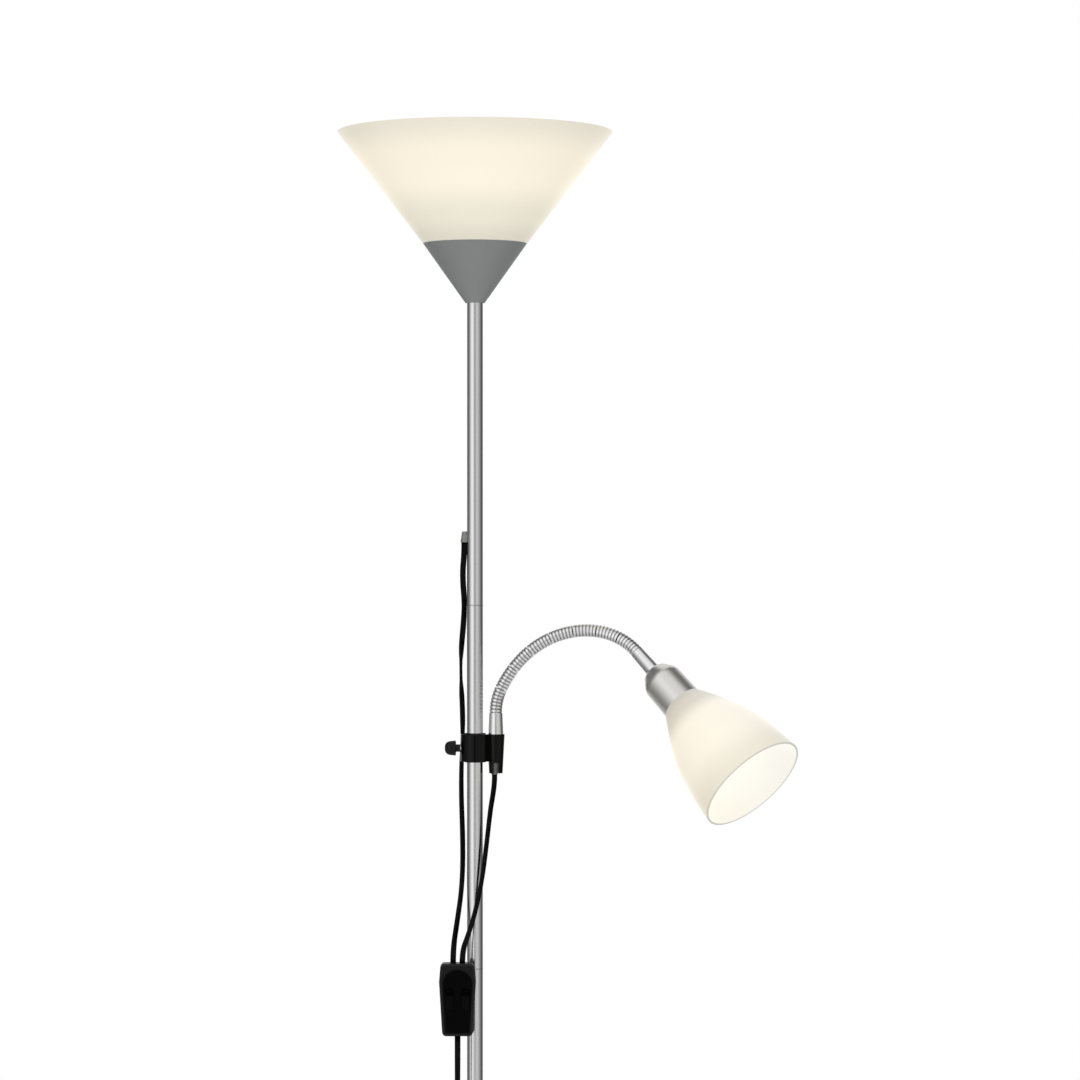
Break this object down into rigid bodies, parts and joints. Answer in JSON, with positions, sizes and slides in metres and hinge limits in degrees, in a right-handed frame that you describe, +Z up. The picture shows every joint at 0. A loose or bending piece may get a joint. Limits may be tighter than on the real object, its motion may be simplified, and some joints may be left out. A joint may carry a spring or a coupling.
{
  "type": "floor lamp with reading light",
  "caption": "Floor uplighter with an open cone shade on a slim sectional pole, and a bell-shaped reading light on a bendable arm clamped to the pole, with an inline cord switch.",
  "frame": {"origin": "centre of the base's underside, on the pole's axis, on the floor", "axes": "+Z up along the pole, +X towards the side where the reading arm leaves the pole, -Y towards the viewer"},
  "size_m": [0.4223, 0.4483, 1.7998],
  "materials": {
    "pad_foam": "matt closed-cell foam",
    "weight_iron": "rough cast, hidden",
    "base_silver": "silver lacquer",
    "zinc": "zinc plated",
    "pole_nickel": "satin nickel plated tube",
    "arm_nickel": "satin nickel plated",
    "cover_silver": "satin nickel plated",
    "cone_grey": "matt moulded plastic",
    "shade_white": "translucent white plastic, lit from inside",
    "bell_white": "translucent white plastic, lit from inside",
    "holder_white": "moulded thermoplastic",
    "bulb_glass": "frosted",
    "bulb_cap": "threaded cap",
    "clamp_black": "glossy moulding",
    "liner_black": "matt moulding",
    "knob_black": "satin moulding",
    "insert_grey": "translucent grey",
    "grommet_clear": "translucent light grey",
    "brass": "turned",
    "cord_black": "soft plastic sheath",
    "switch_black": "satin moulding",
    "rocker_black": "glossy moulding",
    "plug_black": "moulded soft plastic",
    "pin_nickel": "nickel plated",
    "tie_black": "band"
  },
  "bodies": {
    "stand": {"base_pad": "pad_foam", "base_weight": "weight_iron", "base_cover": "base_silver", "base_nut": "zinc", "base_washer": "zinc", "base_stud": "zinc", "base_collar": "pole_nickel", "pole_joiners": "pole_nickel", "pole_end_bushes": "zinc", "cord_grommet": "grommet_clear", "inner_cord": "cord_black", "cone_cap": "cone_grey", "top_nipple": "zinc", "top_lampholder": "holder_white", "top_holder_ring": "holder_white", "top_shade": "shade_white", "top_bulb_cap": "bulb_cap", "top_bulb_glass": "bulb_glass", "switch_back": "switch_black", "switch_front": "switch_black", "switch_screws": "zinc", "switch_terminals": "brass", "lamp_cord": "cord_black", "reading_cord": "cord_black", "supply_cord": "cord_black", "supply_coil": "cord_black", "cord_tie": "tie_black", "plug_body": "plug_black", "plug_pins": "pin_nickel", "pole_tube_1": "pole_nickel", "pole_tube_2": "pole_nickel", "pole_tube_3": "pole_nickel", "pole_tube_4": "pole_nickel", "pole_tube_5": "pole_nickel"},
    "carriage": {"clamp_liner": "liner_black", "reading_cord_top": "cord_black"},
    "clamp": {"clamp_body": "clamp_black", "clamp_nut": "brass", "socket_insert": "insert_grey", "arm_sleeve_lower": "arm_nickel", "hose_1": "arm_nickel"},
    "screw": {"thumbscrew_stud": "zinc"},
    "knob": {"thumbscrew_knob": "knob_black"},
    "rocker_left": {"rocker_left": "rocker_black"},
    "rocker_right": {"rocker_right": "rocker_black"},
    "head": {"hose_8": "arm_nickel", "arm_sleeve_upper": "arm_nickel", "holder_cover": "cover_silver", "reading_lampholder": "holder_white", "shade_ring": "holder_white", "reading_shade": "bell_white", "reading_bulb_cap": "bulb_cap", "reading_bulb_glass": "bulb_glass"},
    "link_2": {"hose_2": "arm_nickel"},
    "link_3": {"hose_3": "arm_nickel"},
    "link_4": {"hose_4": "arm_nickel"},
    "link_5": {"hose_5": "arm_nickel"},
    "link_6": {"hose_6": "arm_nickel"},
    "link_7": {"hose_7": "arm_nickel"}
  },
  "joints": [
    {"name": "clamp_slide", "type": "slide", "parent": "stand", "child": "carriage", "axis": [0, 0, 1], "range_m": [-0.06, 0.04], "deforming": ["reading_cord"]},
    {"name": "clamp_turn", "type": "hinge", "parent": "carriage", "child": "clamp", "pos_m": [0, 0, 1.2306], "axis": [0, 0, 1], "range_deg": [-20, 45]},
    {"name": "screw_advance", "type": "slide", "parent": "clamp", "child": "screw", "axis": [-1, 0, 0], "range_m": [0, 0.00165]},
    {"name": "knob_turn", "type": "hinge", "parent": "screw", "child": "knob", "pos_m": [-0.02, 0, 1.2302], "axis": [-1, 0, 0], "range_deg": [0, 720]},
    {"name": "arm_bend_1", "type": "hinge", "parent": "clamp", "child": "link_2", "pos_m": [0.02415, -0.0006, 1.28487], "axis": [0.1219, 0.9925, 0], "range_deg": [-7, 7]},
    {"name": "arm_bend_2", "type": "hinge", "parent": "link_2", "child": "link_3", "pos_m": [0.03571, -0.00201, 1.30396], "axis": [0.1219, 0.9925, 0], "range_deg": [-7, 7]},
    {"name": "arm_bend_3", "type": "hinge", "parent": "link_3", "child": "link_4", "pos_m": [0.05112, -0.00391, 1.32004], "axis": [0.1315, 0.9912, -0.0119], "range_deg": [-7, 7]},
    {"name": "arm_bend_4", "type": "hinge", "parent": "link_4", "child": "link_5", "pos_m": [0.06993, -0.00631, 1.33184], "axis": [0.1622, 0.9842, -0.0713], "range_deg": [-7, 7]},
    {"name": "arm_bend_5", "type": "hinge", "parent": "link_5", "child": "link_6", "pos_m": [0.09107, -0.00948, 1.3383], "axis": [0.1954, 0.9569, -0.2149], "range_deg": [-7, 7]},
    {"name": "arm_bend_6", "type": "hinge", "parent": "link_6", "child": "link_7", "pos_m": [0.11287, -0.01422, 1.33861], "axis": [0.1945, 0.912, -0.3611], "range_deg": [-7, 7]},
    {"name": "arm_bend_7", "type": "hinge", "parent": "link_7", "child": "head", "pos_m": [0.13303, -0.02127, 1.33224], "axis": [0.1611, 0.8817, -0.4434], "range_deg": [-7, 7]},
    {"name": "rocker_left_tip", "type": "hinge", "parent": "stand", "child": "rocker_left", "pos_m": [-0.0232, -0.0278, 1.0017], "axis": [1, 0, 0], "range_deg": [-12, 0]},
    {"name": "rocker_right_tip", "type": "hinge", "parent": "stand", "child": "rocker_right", "pos_m": [-0.0082, -0.0278, 1.0017], "axis": [1, 0, 0], "range_deg": [-12, 0]}
  ],
  "couplings": [
    {"joint": "screw_advance", "follows": "knob_turn", "m_per_rad": 0.00012732},
    {"joint": "arm_bend_2", "follows": "arm_bend_1", "ratio": 1},
    {"joint": "arm_bend_3", "follows": "arm_bend_1", "ratio": 1},
    {"joint": "arm_bend_4", "follows": "arm_bend_1", "ratio": 1},
    {"joint": "arm_bend_5", "follows": "arm_bend_1", "ratio": 1},
    {"joint": "arm_bend_6", "follows": "arm_bend_1", "ratio": 1},
    {"joint": "arm_bend_7", "follows": "arm_bend_1", "ratio": 1}
  ]
}
